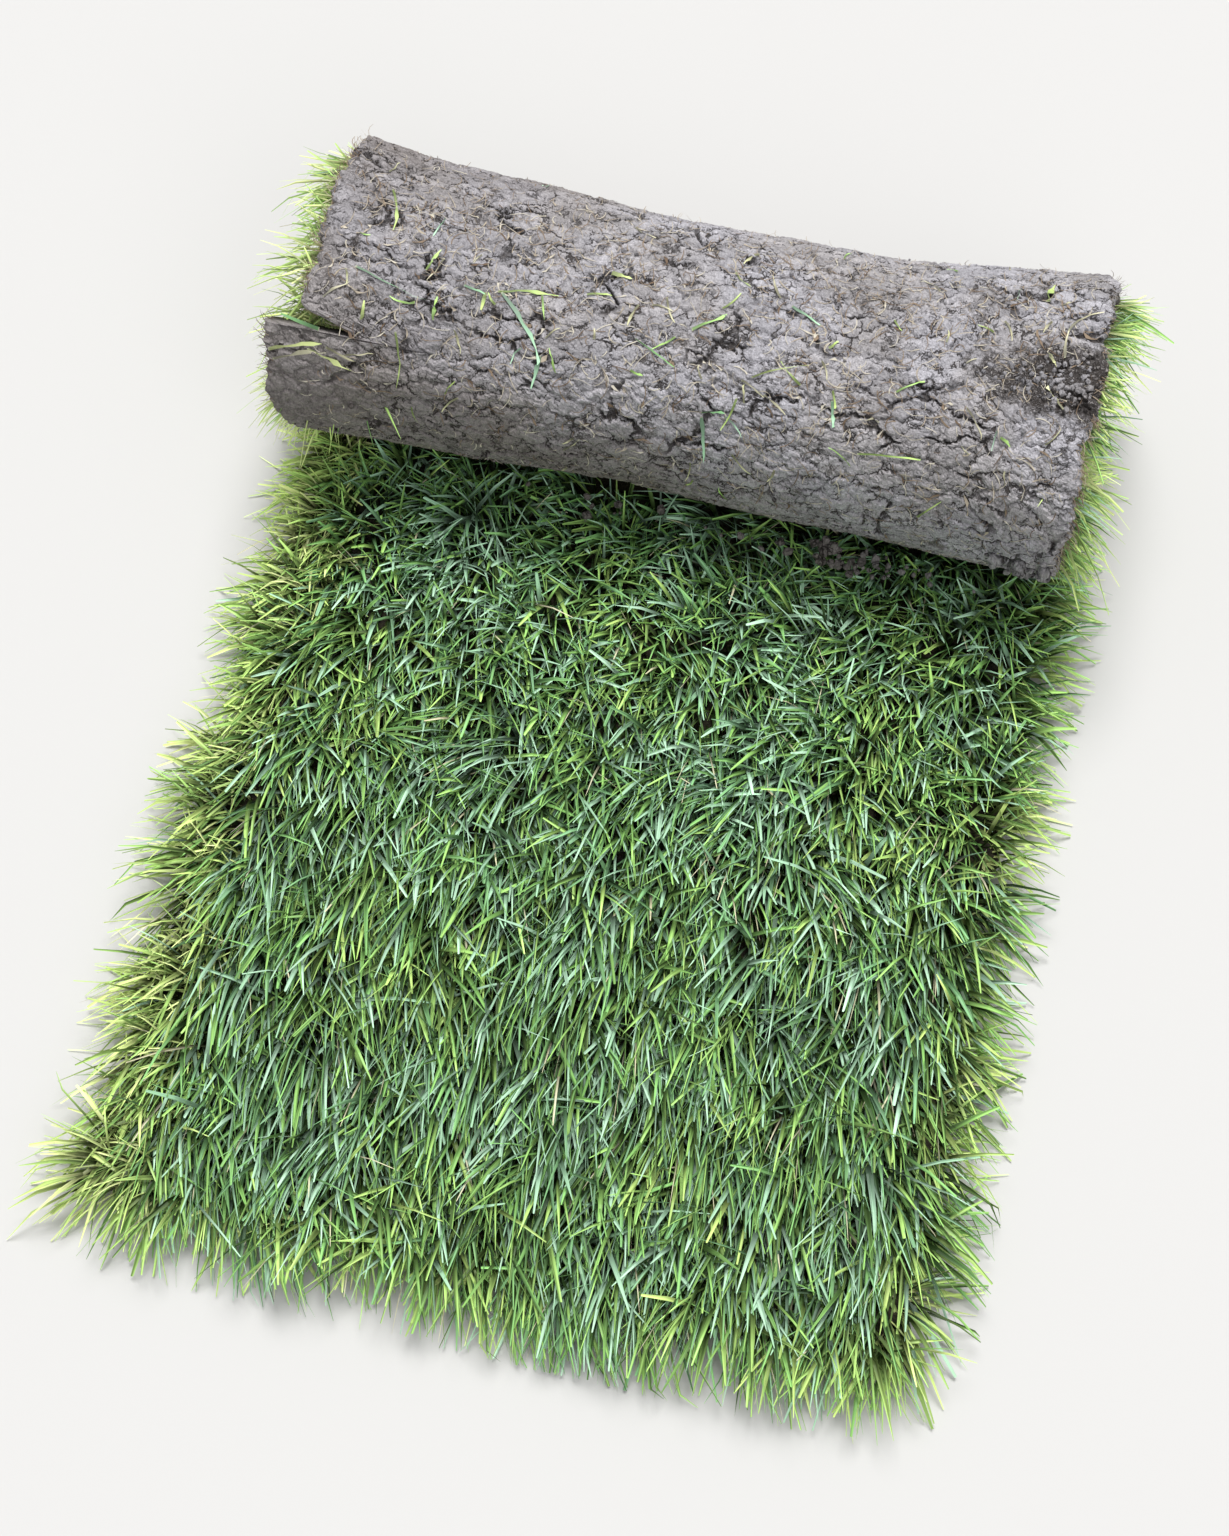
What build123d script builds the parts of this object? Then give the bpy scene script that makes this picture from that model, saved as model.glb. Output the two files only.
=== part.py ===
from build123d import *
from math import asin, cos, degrees, pi, radians, sin
import os

os.makedirs("parts", exist_ok=True)

# A roll of turf, partly unrolled. One strip of soil held by its roots lies flat with its grass up, leaves the floor,
# and winds back over itself with its soil side out, so that its turns show on both ends of the roll.
# X runs along the roll, Y along the strip with the roll at +Y, Z up. The origin is on the floor, below the middle of
# the whole piece. Millimetres.

# The strip as it is cut from the field
strip_width = 610.0
strip_length = 1640.0
soil_thickness = 20.0

# The rolled part
roll_radius = 112.0  # of the outer turn, from its axis to the soil's outer face, between its middle and its ends
waist = 2.0  # how much smaller the radius is in the middle of the roll
flare = 9.0  # how much larger it is at the roll's ends, where the soil has dried and spread
waist_bays = 6  # the straight bays along the roll that make up its waist
half_turns = 3  # how many half turns of the strip are still rolled up
grass_in_roll = 16.0  # the grass pressed between one turn and the next
slump = 30.0  # the straight run that the roll's own weight presses into the top and bottom of each turn

# The standing grass
grass_height = 29.0  # of the leaning blades, where they close into one surface
grass_droop = 9.0  # how much lower that surface is at the strip's long edges, where nothing holds the blades up
side_overhang = 30.0  # how far the blades lean out past the strip's long edges, and out of the roll's two ends
end_overhang = 28.0  # the same at the tail's cut end
grass_round = 18.0  # the rim of the open grass, where the blades hang over
end_curl = 38.0  # the radius in which they hang over at the tail's cut end
root_gap = 0.3  # keeps the soft grass from cutting into the soil

# The torn corner at the roll's left end
tear_angle = 46.0  # how far above level the tear lies on the front of the roll, in degrees
tear_length = 45.0
tear_mouth = 14.0
flap_step = 25.0  # how far the wrap below the tear has slid out of the roll

# What follows from these sizes
turn_pitch = soil_thickness + grass_in_roll
mean_growth = (waist + flare) / 3 - waist


def growth(across):
    """How far the roll's radius differs from roll_radius at a place along the roll, measured from its middle."""
    return (waist + flare) * (2 * across / strip_width) ** 2 - waist


def turn_radius(turn, depth, radius_growth):
    """Radius of a half turn, at a depth measured inwards from the soil's outer face."""
    return roll_radius + radius_growth - turn * turn_pitch / 2 - depth


rolled_length = sum(pi * turn_radius(turn, soil_thickness / 2, mean_growth) + slump for turn in range(half_turns))
tail_length = strip_length - rolled_length
lift_y = (tail_length + end_overhang - roll_radius - flare) / 2  # where the strip leaves the floor
front_y = lift_y - slump  # below the middle of the roll's front
tail_y = lift_y - tail_length


def goes_up_the_back(turn):
    return turn % 2 == 0


def turn_centre(turn, across):
    """Centre of a half turn: even ones climb the back of the roll, odd ones come down its front."""
    height = roll_radius + growth(across)
    if goes_up_the_back(turn):
        return (lift_y, height)
    return (front_y, height + turn_pitch / 2)


def wind(across, first_turn, depth, past_end=0.0):
    """Draw the half turns from first_turn to the strip's inner end, each with its flat run, and return that end."""
    for turn in range(first_turn, half_turns):
        centre_y, centre_z = turn_centre(turn, across)
        radius = turn_radius(turn, depth, growth(across))
        CenterArc((centre_y, centre_z), radius, -90 if goes_up_the_back(turn) else 90, 180)
        run = slump + (past_end if turn == half_turns - 1 else 0.0)
        if goes_up_the_back(turn):
            start, end = (centre_y, centre_z + radius), (centre_y - run, centre_z + radius)
        else:
            start, end = (centre_y, centre_z - radius), (centre_y + run, centre_z - radius)
        Line(start, end)
    return end


def stations(reach):
    """Where the sections of a loft lie along the roll: at the ends of its bays, and as far out as it reaches."""
    bay_ends = {strip_width * (bay / waist_bays - 0.5) for bay in range(waist_bays + 1)}
    return sorted(bay_ends | {-reach, reach})


# The soil mat: the whole strip in one solid, flat tail and spiral
with BuildPart() as soil_mat:
    for across in stations(strip_width / 2):
        with BuildSketch(Plane.YZ.offset(across)):
            with BuildLine():
                Line((tail_y, 0), (lift_y, 0))
                outer_end = wind(across, 0, 0)
                inner_end = wind(across, 0, soil_thickness)
                Line(outer_end, inner_end)
                Line((lift_y, soil_thickness), (tail_y, soil_thickness))
                Line((tail_y, soil_thickness), (tail_y, 0))
            make_face()
    loft(ruled=True)

    # Below the tear, the outer wrap has slid out of the roll's left end
    tear_start = 180 - tear_angle
    tear_sweep = 90 + tear_angle
    for across in (-strip_width / 2, -strip_width / 2 - flap_step):
        flap_centre = turn_centre(1, across)
        flap_radius = turn_radius(1, 0, growth(across))
        with BuildSketch(Plane.YZ.offset(across)):
            with BuildLine():
                outer_wrap = CenterArc(flap_centre, flap_radius, tear_start, tear_sweep)
                inner_wrap = CenterArc(flap_centre, flap_radius - soil_thickness, tear_start, tear_sweep)
                Line(outer_wrap @ 0, inner_wrap @ 0)
                Line(outer_wrap @ 1, inner_wrap @ 1)
            make_face()
    loft(ruled=True)

    # The tear itself is a notch that narrows away from the end, cut square through the outer wrap
    outwards = Vector(0, -cos(radians(tear_angle)), sin(radians(tear_angle)))
    end_centre = Vector(-strip_width / 2, *turn_centre(1, -strip_width / 2))
    tear_point = end_centre + outwards * turn_radius(1, -flare, growth(-strip_width / 2))
    with BuildSketch(Plane(origin=tear_point, x_dir=(1, 0, 0), z_dir=outwards)):
        with BuildLine():
            Polyline((-flap_step, 0), (tear_length, 0), (0, tear_mouth), (-flap_step, tear_mouth), close=True)
        make_face()
    extrude(amount=-turn_pitch - flare, mode=Mode.SUBTRACT)

soil_mat.part.label = "soil_mat"
export_step(soil_mat.part, "parts/soil_mat.step")

# The grass: open blades on the tail, which droop towards its edges and hang over them, and grass pressed between the
# turns, which also fills the roll's core
rim_y = tail_y - end_overhang
rim_x = strip_width / 2 + side_overhang
roots_z = soil_thickness + root_gap
middle_top = soil_thickness + grass_height
edge_top = middle_top - grass_droop
with BuildPart() as grass_sward:
    with BuildSketch(Plane.XZ.offset(-front_y)) as across_the_tail:
        with BuildLine():
            Line((-rim_x, edge_top), (-rim_x, roots_z))
            Line((-rim_x, roots_z), (rim_x, roots_z))
            Line((rim_x, roots_z), (rim_x, edge_top))
            ThreePointArc((rim_x, edge_top), (0, middle_top), (-rim_x, edge_top))
        make_face()
        fillet(across_the_tail.vertices().group_by(Axis.Y)[-1], grass_round)
    extrude(amount=front_y - rim_y)
    with BuildSketch(Plane.YZ):
        with BuildLine():
            end_round = CenterArc((rim_y + end_curl, roots_z), end_curl, 90, 90)
            Line(end_round @ 1, (front_y, roots_z))
            Line((front_y, roots_z), (front_y, roots_z + end_curl))
            Line((front_y, roots_z + end_curl), end_round @ 0)
        make_face()
    extrude(amount=rim_x, both=True, mode=Mode.INTERSECT)

    # The front of the roll lies over the end of the open grass
    for across in stations(rim_x):
        with BuildSketch(Plane.YZ.offset(across)):
            with Locations(turn_centre(1, across)):
                Circle(turn_radius(1, -root_gap, growth(across)))
    loft(ruled=True, mode=Mode.SUBTRACT)

    # From there on it is wound in with the soil
    for across in stations(rim_x):
        roof_z = turn_centre(1, across)[1] - turn_radius(1, -root_gap, growth(across))
        with BuildSketch(Plane.YZ.offset(across)):
            with BuildLine():
                Line((front_y, roots_z), (lift_y, roots_z))
                core_end = wind(across, 0, roots_z, past_end=root_gap)
                back_end = wind(across, 2, -root_gap, past_end=root_gap)
                Line(core_end, back_end)
                Line((lift_y, roof_z), (front_y, roof_z))
                Line((front_y, roof_z), (front_y, roots_z))
            make_face()
    loft(ruled=True)

grass_sward.part.label = "grass_sward"
export_step(grass_sward.part, "parts/grass_sward.step")

slimmest, widest = 2 * (roll_radius - waist), 2 * (roll_radius + flare)
print(f"rolled {rolled_length:.0f} mm, flat tail {tail_length:.0f} mm, roll {slimmest:.0f} to {widest:.0f} mm high")
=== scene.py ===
# %% [markdown]
# A roll of turf, partly unrolled. It is one strip cut from a lawn: a mat of soil held together by roots, with its grass
# on one side. The tail lies flat with the grass up, and the rest is wound back over it with the soil side out.
# This lesson loads the plain solids of the part, reads their sizes, and then builds what the eye looks for in turf:
# cracked, crumbling soil and tens of thousands of separate blades.

# %% Load the frame
import math

import bmesh
import bpy
import numpy as np
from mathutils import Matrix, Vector


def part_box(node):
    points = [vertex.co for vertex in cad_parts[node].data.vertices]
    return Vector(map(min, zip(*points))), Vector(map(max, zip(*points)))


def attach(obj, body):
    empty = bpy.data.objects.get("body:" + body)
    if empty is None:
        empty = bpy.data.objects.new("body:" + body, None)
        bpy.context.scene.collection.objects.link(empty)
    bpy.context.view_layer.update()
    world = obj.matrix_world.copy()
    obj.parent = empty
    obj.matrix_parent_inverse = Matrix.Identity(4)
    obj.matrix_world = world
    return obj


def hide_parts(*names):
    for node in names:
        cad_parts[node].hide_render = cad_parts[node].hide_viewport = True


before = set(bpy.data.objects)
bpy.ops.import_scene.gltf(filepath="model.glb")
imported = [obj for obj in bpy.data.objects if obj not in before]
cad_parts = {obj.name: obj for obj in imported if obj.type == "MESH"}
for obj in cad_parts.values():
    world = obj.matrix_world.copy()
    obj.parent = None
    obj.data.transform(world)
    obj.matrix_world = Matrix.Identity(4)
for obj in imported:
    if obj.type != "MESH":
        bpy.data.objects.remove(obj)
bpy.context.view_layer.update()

# %% [markdown]
# Every size here comes from the solids, so that what is built later fits them without any moving about. A few values
# can't be read from a box and repeat the ones that the solids were made with: how tightly the grass is pressed between
# the turns, how far the roll has slumped, how many half turns it has, how much slimmer its middle is than its ends, and
# the hair's breadth that keeps the grass solid off the soil.

# %% Sizes of the strip
soil_low, soil_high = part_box("soil_mat")
grass_low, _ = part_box("grass_sward")
half_turns = 3
grass_in_roll = 0.016
slump = 0.030
root_gap = 0.0003
waist, flare = 0.002, 0.009
half_width = soil_high.x
roll_radius = soil_high.z / 2 - flare
soil_thickness = grass_low.z - root_gap
turn_pitch = soil_thickness + grass_in_roll
lift_y = soil_high.y - roll_radius - flare
tail_y = soil_low.y
tail_length = lift_y - tail_y
front_y = lift_y - slump
front_z = roll_radius + turn_pitch / 2
front_radius = roll_radius - turn_pitch / 2
print(f"tail {tail_length:.3f} m, roll {2 * roll_radius:.3f} m high, soil {soil_thickness:.4f} m thick")

# %% [markdown]
# The strip's path is a line on the floor, then half turns joined by short flat runs. A function gives the place of any
# point of the strip from three numbers: how far along the strip it lies, how far across, and how deep below the soil's
# outer face. Soil, roots and grass all use it, so they can't drift apart.

# %% The path of the strip
turn_starts = [tail_length]
for turn in range(half_turns):
    turn_starts.append(turn_starts[-1] + math.pi * (roll_radius - turn * turn_pitch / 2) + slump)
strip_end = turn_starts[-1]
roll_top = turn_starts[1]
wrap_end = turn_starts[2]
print(f"the strip is {strip_end:.3f} m long, and {strip_end - tail_length:.3f} m of it is wound up")


def strip_path(along):
    """Place (y, z) on the soil's outer face, and the direction (y, z) from it to the strip's grass side."""
    along = np.asarray(along, float)
    y, z = tail_y + along, np.zeros_like(along)
    grass_y, grass_z = np.zeros_like(along), np.ones_like(along)
    for turn in range(half_turns):
        climbs = turn % 2 == 0
        side = 1 if climbs else -1
        radius = roll_radius - turn * turn_pitch / 2
        centre_y, centre_z = (lift_y, roll_radius) if climbs else (front_y, front_z)
        angle = (along - turn_starts[turn]) / radius
        bent, straight = angle >= 0, angle > math.pi
        run = (angle - math.pi) * radius
        y = np.where(bent, centre_y + side * radius * np.sin(angle), y)
        z = np.where(bent, centre_z - side * radius * np.cos(angle), z)
        grass_y = np.where(bent, -side * np.sin(angle), grass_y)
        grass_z = np.where(bent, side * np.cos(angle), grass_z)
        y = np.where(straight, centre_y - side * run, y)
        z = np.where(straight, centre_z + side * radius, z)
        grass_y = np.where(straight, 0.0, grass_y)
        grass_z = np.where(straight, -side, grass_z)
    return y, z, grass_y, grass_z


def in_front(degrees):
    """How far along the strip the roll's front face is, this many degrees down from its top."""
    return roll_top + front_radius * math.radians(degrees)


def smooth(value, low, high):
    """Ease from 0 at low to 1 at high."""
    t = np.clip((np.asarray(value, float) - low) / (high - low), 0, 1)
    return t * t * (3 - 2 * t)


# %% [markdown]
# A real roll isn't a true cylinder. This one is waisted, because the soil near its cut ends is drier and flares out. As
# in the solids, each section keeps its lowest line on the floor, so a wider section also has a higher axis. Its surface
# also swells and dips by a few millimetres, which the solids leave out.

# %% From strip to space
swell = 0.0011
settle = 0.10


def growth(across):
    """How far the roll's radius differs from roll_radius, at a place along the roll."""
    return (waist + flare) * (across / half_width) ** 2 - waist


def swelling(along, across):
    """Slow dips and swells of the soil, in metres outwards."""
    waves = np.sin(along * 23 + across * 9 + 1.0) + np.sin(along * 11 - across * 17 + 2.0)
    rolled = smooth(along, tail_length - settle, tail_length + settle)
    return swell * (waves + np.sin(across * 31 + along * 19) - 0.6) * rolled


def strip_point(along, across, depth):
    """Points in the part's frame, in metres."""
    along, across, depth = np.broadcast_arrays(*(np.asarray(v, float) for v in (along, across, depth)))
    y, z, grass_y, grass_z = strip_path(along)
    wider = growth(across)
    inwards = depth - swelling(along, across) * (1 - depth / soil_thickness * 0.5) - wider
    return np.stack([across, y + grass_y * inwards, np.maximum(z + grass_z * inwards + wider, 0.0004)], -1)


# %% [markdown]
# Node trees hold two kinds of work in this lesson: geometry nodes grow the grass and break up the soil, and shader
# nodes colour them. A few small helpers keep the code that builds them short: one adds a node and fills its inputs,
# some do sums on numbers, some do sums on vectors, and some read a noise or a cell pattern at a place. A socket knows
# its tree, so the helpers that are given one need no tree.

# %% Helper that adds a node
def add(tree, kind, *values, **settings):
    """Add a node, set its options, and fill its inputs in order with sockets or numbers; None leaves one as it is."""
    node = tree.nodes.new(kind)
    for name, value in settings.items():
        setattr(node, name, value)
    for socket, value in zip(node.inputs, values):
        if isinstance(value, bpy.types.NodeSocket):
            tree.links.new(value, socket)
        elif value is not None:
            socket.default_value = value
    return node


# %% Sums on numbers
def tree_of(*values):
    """The tree that the first socket among these values belongs to."""
    return next(value.id_data for value in values if isinstance(value, bpy.types.NodeSocket))


def sums(operation, *values):
    return add(tree_of(*values), "ShaderNodeMath", *values, operation=operation).outputs[0]


def times(*values):
    total = values[0]
    for value in values[1:]:
        total = sums("MULTIPLY", total, value)
    return total


def plus(*values):
    total = values[0]
    for value in values[1:]:
        total = sums("ADD", total, value)
    return total


def minus(first, second):
    return sums("SUBTRACT", first, second)


def over(first, second):
    return sums("DIVIDE", first, second)


def larger(first, second):
    return sums("MAXIMUM", first, second)


def sine(value):
    return sums("SINE", value)


def cosine(value):
    return sums("COSINE", value)


# %% Sums on vectors
def vector_sums(operation, first, second=None, factor=None):
    node = add(tree_of(first, second), "ShaderNodeVectorMath", first, second, None, factor, operation=operation)
    return node.outputs["Value" if operation in ("LENGTH", "DOT_PRODUCT") else "Vector"]


def vector_minus(first, second):
    return vector_sums("SUBTRACT", first, second)


def scaled(vector, factor):
    return vector_sums("SCALE", vector, None, factor)


def vector_plus(*vectors):
    total = vectors[0]
    for vector in vectors[1:]:
        total = vector_sums("ADD", total, vector)
    return total


def parts_of(vector):
    return add(vector.id_data, "ShaderNodeSeparateXYZ", vector).outputs


def vector_of(x, y, z):
    return add(tree_of(x, y, z), "ShaderNodeCombineXYZ", x, y, z).outputs[0]


# %% Patterns and easing
def ease(value, low, high, start=0.0, end=1.0):
    """Go smoothly from start to end while the value goes from low to high."""
    node = add(value.id_data, "ShaderNodeMapRange", value, low, high, start, end, interpolation_type="SMOOTHSTEP")
    return node.outputs[0]


def noise(place, scale, detail=3.0, rough=0.55, output="Fac"):
    return add(place.id_data, "ShaderNodeTexNoise", place, None, scale, detail, rough).outputs[output]


def cells(place, size, feature="F1"):
    """Cell noise; size is a cell's width in metres."""
    texture = add(place.id_data, "ShaderNodeTexVoronoi", place, feature=feature)
    texture.inputs["Scale"].default_value = 1 / size
    return texture.outputs


def bent(place, size, amount):
    """Shift a place by smooth noise, so that no line in a pattern stays straight."""
    shift = vector_minus(noise(place, 1 / size, 3.0, 0.6, "Color"), (0.5, 0.5, 0.5))
    return vector_sums("ADD", place, scaled(shift, amount))


# %% [markdown]
# A geometry node tree gets a mesh and some named inputs, and gives a mesh back. Running it means: add it as a
# modifier, set its inputs by their identifiers, let Blender evaluate it, and keep the plain mesh.

# %% Helpers that build geometry node trees
def new_tree(name, inputs):
    """A geometry node tree with a mesh in, a mesh out, and named inputs with their usual values."""
    tree = bpy.data.node_groups.new(name, "GeometryNodeTree")
    tree.interface.new_socket("Geometry", in_out="INPUT", socket_type="NodeSocketGeometry")
    tree.interface.new_socket("Geometry", in_out="OUTPUT", socket_type="NodeSocketGeometry")
    for label, kind, value in inputs:
        socket = tree.interface.new_socket(label, in_out="INPUT", socket_type="NodeSocket" + kind)
        if value is not None:
            socket.default_value = value
    return tree, tree.nodes.new("NodeGroupInput").outputs


def finish_tree(tree, geometry, material):
    """End a tree with Realize Instances and Set Material, because an export drops instances."""
    realized = add(tree, "GeometryNodeRealizeInstances", geometry).outputs[0]
    coloured = add(tree, "GeometryNodeSetMaterial", realized, None, material).outputs[0]
    tree.links.new(coloured, tree.nodes.new("NodeGroupOutput").inputs[0])
    print(f"the tree '{tree.name}' has {len(tree.nodes)} nodes")


def copies_on(points, thing, rotation=None, scale=None):
    """Place a copy of a mesh on each point, and turn the copies into plain mesh."""
    tree = points.id_data
    placed = add(tree, "GeometryNodeInstanceOnPoints", points, None, thing, None, None, rotation, scale).outputs[0]
    return add(tree, "GeometryNodeRealizeInstances", placed).outputs[0]


def painted(tree, label, kind="FLOAT"):
    """Read a value that was painted on the piece's points."""
    return add(tree, "GeometryNodeInputNamedAttribute", label, data_type=kind).outputs[0]


def point_places(tree):
    return tree.nodes.new("GeometryNodeInputPosition").outputs[0]


def run_tree(piece, tree, **values):
    """Run a tree on a piece with the given inputs, and keep the plain mesh that comes out."""
    modifier = piece.modifiers.new("made by nodes", "NODES")
    modifier.node_group = tree
    sockets = {s.name: s.identifier for s in tree.interface.items_tree if s.in_out == "INPUT"}
    for label, value in values.items():
        modifier[sockets[label.replace("_", " ")]] = value
    evaluated = piece.evaluated_get(bpy.context.evaluated_depsgraph_get())
    mesh = bpy.data.meshes.new_from_object(evaluated)
    piece.modifiers.remove(modifier)
    old = piece.data
    piece.data = mesh
    bpy.data.meshes.remove(old)
    mesh.name = piece.name
    return piece


def piece_from(name, vertices, faces):
    """A new object at the origin, from lists of points and faces."""
    mesh = bpy.data.meshes.new(name)
    mesh.from_pydata(np.asarray(vertices).reshape(-1, 3).tolist(), [], faces)
    mesh.update()
    piece = bpy.data.objects.new(name, mesh)
    bpy.context.scene.collection.objects.link(piece)
    return piece


def paint(piece, **values):
    """Store values on a piece's points, for its tree or its material to read."""
    for label, value in values.items():
        value = np.ascontiguousarray(value, float)
        is_vector = value.ndim > 1
        layer = piece.data.attributes.new(label, "FLOAT_VECTOR" if is_vector else "FLOAT", "POINT")
        layer.data.foreach_set("vector" if is_vector else "value", value.ravel())


def dress(piece, node):
    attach(piece, "root")
    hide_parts(node)
    return piece


# %% [markdown]
# The pattern of drying clay loam. Where the strip is bent with its soil outside, the soil is stretched and breaks into
# flat clods about a centimetre across, longer along the roll than round it. Between them lie cracks and patches of fine
# crumbs. Cell noise gives all of that: the distance to a cell's edge is the depth of a crack, and each cell's own
# random number is how high its clod stands. One function writes the pattern for both kinds of node tree, so that shape
# and colour agree. It works on the place along, across and into the strip, not in space, so that the clods follow the
# bend. Three places are given: a patch at the right end that has crumbled, a short crack above it that runs in
# from the rim, and the flap below the tear, which was pressed smooth and has few cracks.

# %% Sizes and places of the soil pattern
clod_size, flake_size, split_size, crumb_size = 0.0135, 0.0064, 0.0300, 0.0034
rough_patch = (in_front(1), half_width - 0.008, 0.0)
rim_crack = (in_front(-24), half_width, 0.0)
rim_crack_length = 0.036
smooth_flap = (in_front(78), -half_width - 0.010, 0.0)
print(f"clods {1000 * clod_size:.1f} mm, flakes {1000 * flake_size:.1f} mm, crumbs {1000 * crumb_size:.1f} mm")


# %% Soil pattern
def edge_distance(place, size):
    """Metres from a place to the nearest edge of its cell."""
    return times(cells(place, size, "DISTANCE_TO_EDGE")["Distance"], size)


def hand_set_places(place):
    """The short crack at the rim, the crumbled patch, and how far the soil is broken outside the smooth flap."""
    from_crack = vector_minus(bent(place, 0.010, 0.008), rim_crack)
    off_crack = sums("ABSOLUTE", parts_of(from_crack)[0])
    half_open = ease(parts_of(from_crack)[1], -rim_crack_length, 0.0, 0.0, 0.0022)
    inside = ease(minus(off_crack, half_open), 0.0, 0.0012, 1.0, 0.0)
    rim_split = times(inside, sums("GREATER_THAN", half_open, 0.0))
    to_patch = vector_sums("MULTIPLY", vector_minus(place, rough_patch), (1.0, 0.36, 1.0))
    ragged = plus(vector_sums("LENGTH", to_patch), times(noise(place, 75.0, 4.0, 0.75), 0.060))
    patch = ease(ragged, 0.050, 0.066, 1.0, 0.0)
    to_flap = vector_minus(bent(place, 0.050, 0.040), smooth_flap)
    broken = ease(vector_sums("LENGTH", to_flap), 0.045, 0.085, 0.25, 1.0)
    return rim_split, patch, broken


def soil_pattern(place):
    """Masks from 0 to 1 for a place on the strip."""
    wavy = bent(place, 0.013, 0.017)
    jagged = bent(wavy, 0.0032, 0.0040)
    longways = vector_sums("MULTIPLY", jagged, (1.0, 0.46, 1.0))
    clod_edge, flake_edge, split_edge = (edge_distance(longways, size) for size in (clod_size, flake_size, split_size))
    clod_random = parts_of(cells(longways, clod_size)["Color"])
    wide = ease(noise(place, 42.0, 2.0), 0.42, 0.76, 0.00005, 0.00078)
    crack = ease(over(clod_edge, wide), 0.30, 1.30, 1.0, 0.0)
    thin = ease(noise(vector_sums("ADD", place, (0.31, 0.17, 0.0)), 60.0, 2.0), 0.48, 0.74, 0.00002, 0.00055)
    fine_crack = ease(over(flake_edge, thin), 0.25, 1.30, 0.8, 0.0)
    where_split = ease(noise(place, 15.0, 2.0), 0.48, 0.60)
    split = times(ease(split_edge, 0.0002, 0.0012, 1.0, 0.0), where_split)
    crumb_edge = edge_distance(jagged, crumb_size)
    rim_split, patch, broken = hand_set_places(place)
    crumbly = larger(ease(noise(place, 46.0, 5.0, 0.72), 0.56, 0.68), patch)
    return {
        "crack": times(larger(crack, fine_crack), broken),
        "split": larger(split, rim_split), "crumbly": times(crumbly, broken), "patch": patch,
        "clod random": clod_random, "clod top": ease(clod_edge, 0.0, 0.0022),
        "flake top": ease(flake_edge, 0.0, 0.0012), "crumb top": ease(crumb_edge, 0.0, 0.0012),
    }


# %% [markdown]
# The relief tree moves the points of a fine mesh outwards by the pattern. That mesh has a point every one and a half to
# two millimetres: enough for clods and wide splits, but not for the finest cracks, which are left to the material.

# %% Tree for soil relief
relief_tree, given = new_tree("soil relief", [
    ("Clod Height", "Float", 0.0010),
    ("Clod Steps", "Float", 0.0013),
    ("Flake Height", "Float", 0.0005),
    ("Split Depth", "Float", 0.0035),
    ("Crumb Height", "Float", 0.0010),
    ("Lumps", "Float", 0.0026),
    ("Fuzz", "Float", 0.0017),
    ("Patch Rise", "Float", 0.0012),
    ("Set Back", "Float", 0.0014),
    ("Material", "Material", None),
])
tree = relief_tree
strip_place, outward = painted(tree, "strip", "FLOAT_VECTOR"), painted(tree, "outward", "FLOAT_VECTOR")
pattern = soil_pattern(strip_place)
clod_step = times(pattern["clod random"][0], given["Clod Steps"])
clods = plus(times(pattern["clod top"], plus(given["Clod Height"], clod_step)),
             times(pattern["flake top"], given["Flake Height"]))
clods = times(clods, minus(1.0, times(pattern["crumbly"], 0.5)))
crumbs = times(pattern["crumb top"], plus(pattern["crumbly"], pattern["patch"]), given["Crumb Height"])
lumps = times(minus(noise(strip_place, 30.0, 3.0), 0.5), given["Lumps"])
fuzz = times(minus(noise(strip_place, 260.0, 3.0, 0.75), 0.5), given["Fuzz"])
down = plus(times(pattern["split"], given["Split Depth"]), times(pattern["patch"], given["Patch Rise"], -1.0),
            given["Set Back"])
height = minus(plus(clods, crumbs, lumps, fuzz), down)
offset = scaled(outward, height)
moved = add(tree, "GeometryNodeSetPosition", given["Geometry"], None, None, offset).outputs[0]
x, y, z = parts_of(point_places(tree))
above_floor = vector_of(x, y, larger(z, 0.0003))
moved = add(tree, "GeometryNodeSetPosition", moved, None, above_floor).outputs[0]
finish_tree(tree, moved, given["Material"])

# %% [markdown]
# The soil's finish. Flat clods are grey with a trace of violet, each a little lighter or darker than its neighbour;
# crumbs are browner. Cracks and the gaps between crumbs are painted nearly black as shade, and clod tops are painted a
# little lighter than their edges. Low on the roll, more so towards its left end, the soil is browner and darker: partly
# damp soil, partly painted shade. Deep in the mat it is dark with dead roots and with painted shade under the grass.
# Grain too small for the mesh is bump.

# %% Helpers for materials
def colour_ramp(factor, stops):
    node = add(factor.id_data, "ShaderNodeValToRGB", factor)
    while len(node.color_ramp.elements) < len(stops):
        node.color_ramp.elements.new(1.0)
    for element, (place, colour) in zip(node.color_ramp.elements, stops):
        element.position = place
        element.color = (*colour, 1)
    return node.outputs[0]


def mix_colours(factor, first, second):
    values = (factor, None, None, None, None, None, first, second)
    return add(tree_of(factor, first, second), "ShaderNodeMix", *values, data_type="RGBA").outputs[2]


def new_material(name, roughness, specular):
    material = bpy.data.materials.new(name)
    material.use_nodes = True
    tree = material.node_tree
    shader = tree.nodes["Principled BSDF"]
    shader.inputs["Roughness"].default_value = roughness
    shader.inputs["Specular IOR Level"].default_value = specular
    return material, tree, shader


# %% Soil colours
clod_grey = (0.452, 0.437, 0.466, 1)
clod_warm = (0.404, 0.381, 0.386, 1)
crumb_brown = (0.315, 0.283, 0.268, 1)
# Brown of damp soil, also used as painted shade low on the roll.
damp_and_shade_brown = (0.205, 0.172, 0.152, 1)
# Painted shade in cracks and in the gaps between crumbs.
crack_shade_dark = (0.040, 0.032, 0.028, 1)
# Brown of dead roots deep in the mat, darkened to near black as painted shade under the grass.
mat_brown_and_shade = (0.030, 0.026, 0.014, 1)
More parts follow.
